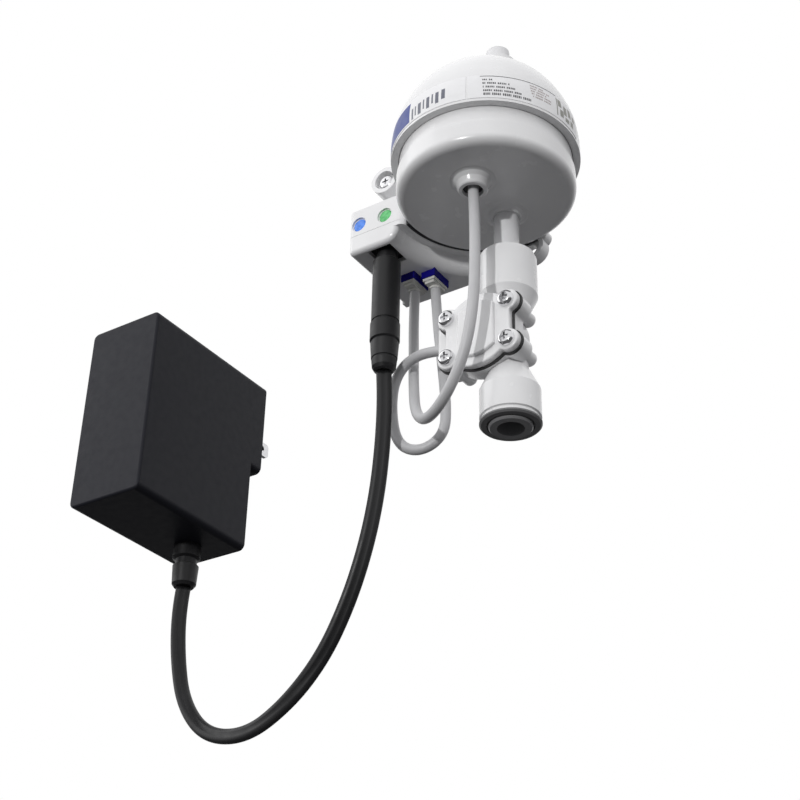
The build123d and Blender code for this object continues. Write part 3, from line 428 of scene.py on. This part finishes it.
# ---- label prints ---------------------------------------------------------------------------
# Each bar lies between two compass angles about the reactor axis and two heights, in mm.
REACTOR_AXIS = Vector((0, -0.0386, 0))
OUTSIDE_R = 0.06                     # a radius well outside the dome
PRINT_LIFT = 0.04 * MM
PATCH_ANGLE = 2                      # largest patch of a bar, in degrees and in mm
PATCH_HEIGHT = 1.2
INK_GLOSS = (0.32, 0.42)
DASH_SHORT = 0.55                    # dashes and the gaps between them, in degrees
DASH_LONGER = 0.35
DASH_GAP = 0.35
WORD_GAP = 1.1
WORD_DASHES = 5
BLUE_BARS = [(214, 249.5, 13.9, 23.4)]
GREY_BARS = [(251.6, 253.0, 14.0, 19.2), (254.4, 255.4, 15.0, 19.4), (257.0, 259.4, 14.4, 19.8),
             (261.0, 262.0, 15.6, 20.2), (263.6, 265.8, 14.8, 20.2), (267.4, 268.4, 16.0, 20.6),
             (270.0, 272.2, 15.2, 20.6), (274.0, 276.4, 16.2, 21.0)]
LINE_BARS = [(297.4, 347.5, 24.0, 24.35)]
DASH_ROWS = [(298.8, 304.6, 21.8, 0.8), (298.8, 314.6, 19.9, 0.9), (299.0, 319.0, 18.0, 0.9),
             (299.2, 322.0, 16.2, 0.9), (299.3, 328.5, 14.4, 1.1)]
FAINT_ROWS = [(327.6, 337.5, 22.2, 0.7), (327.8, 341.0, 20.9, 0.7), (328.0, 339.5, 19.6, 0.7),
              (328.4, 343.0, 18.3, 0.7), (329.2, 342.5, 17.0, 0.7)]
MARK_BARS = [(347.2, 348.0, 14.6, 23.2), (348.6, 351.6, 19.4, 23.0), (350.2, 353.4, 15.2, 18.4),
             (353.8, 357.0, 17.4, 21.6), (355.4, 359.6, 14.8, 16.6), (358.6, 361.8, 18.4, 22.4),
             (361.4, 364.8, 15.0, 17.6), (364.2, 367.4, 18.6, 21.2)]


def label_surface():
    """Search tree of both label films."""
    verts = []
    faces = []
    for name in ("front_label", "side_label"):
        film = nodes[name]
        base = len(verts)
        verts += [film.matrix_world @ v.co for v in film.data.vertices]
        faces += [[base + i for i in face.vertices] for face in film.data.polygons]
    return BVHTree.FromPolygons(verts, faces)


def on_label(tree, angle, height):
    """Point just off the film at a compass angle and a height."""
    turn = math.radians(angle)
    outward = Vector((math.cos(turn), math.sin(turn), 0))
    start = REACTOR_AXIS + outward * OUTSIDE_R + Vector((0, 0, height * MM))
    hit = tree.ray_cast(start, -outward)[0]
    if hit is None:
        return None
    return hit + outward * PRINT_LIFT


def dashes(rows, seed):
    """Short marks of uneven length that fill each row: start, stop, height and thickness."""
    bars = []
    for row, (start, stop, low, tall) in enumerate(rows):
        at = start
        step = seed + row
        while at < stop - 0.5:
            step += 1
            long = DASH_SHORT + DASH_LONGER * ((step * 7) % WORD_DASHES) / (WORD_DASHES - 1)
            bars.append((at, min(at + long, stop), low, low + tall))
            at += long + (DASH_GAP if step % WORD_DASHES else WORD_GAP)
    return bars


def prints(tree, name, bars, material):
    """One thin mesh of all bars of a colour, laid on the label films."""
    verts = []
    faces = []
    for start, stop, low, high in bars:
        columns = max(1, math.ceil((stop - start) / PATCH_ANGLE))
        rows = max(1, math.ceil((high - low) / PATCH_HEIGHT))
        angles = [start + (stop - start) * i / columns for i in range(columns + 1)]
        heights = [low + (high - low) * j / rows for j in range(rows + 1)]
        grid = [[on_label(tree, angle, height) for height in heights] for angle in angles]
        for i in range(columns):
            for j in range(rows):
                corners = [grid[i][j], grid[i + 1][j], grid[i + 1][j + 1], grid[i][j + 1]]
                if None in corners:
                    continue
                faces.append(tuple(range(len(verts), len(verts) + 4)))
                verts += corners
    mesh = bpy.data.meshes.new(name)
    mesh.from_pydata(verts, [], faces)
    mesh.materials.append(material)
    patch = bpy.data.objects.new(name, mesh)
    add_to_scene(patch)
    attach(patch, "unit")


def label_prints():
    """Plain bars and dashes on the labels, one piece for each ink."""
    tree = label_surface()
    for ink, bars, color in (("blue", BLUE_BARS, (0.018, 0.045, 0.27)),
                             ("grey", GREY_BARS, (0.15, 0.16, 0.20)),
                             ("dark", LINE_BARS + dashes(DASH_ROWS, 2), (0.10, 0.10, 0.105)),
                             ("faint", dashes(FAINT_ROWS, 5), (0.42, 0.36, 0.35)),
                             ("mark", MARK_BARS, (0.27, 0.27, 0.24))):
        prints(tree, "print_" + ink, bars, moulded("ink_" + ink, color, INK_GLOSS))


# ---- the scene ----------------------------------------------------------------------------
bpy.context.scene.view_settings.view_transform = "Standard"
camera()
studio()
floor()
sun("key", KEY_TRAVEL, KEY_STRENGTH, KEY_SPREAD)
softbox("left", LEFT_BOX_AT, LEFT_BOX_AIM, LEFT_BOX_SIZE, LEFT_BOX_POWER)
made = all_materials()
dress(made)
cords(made)
label_prints()
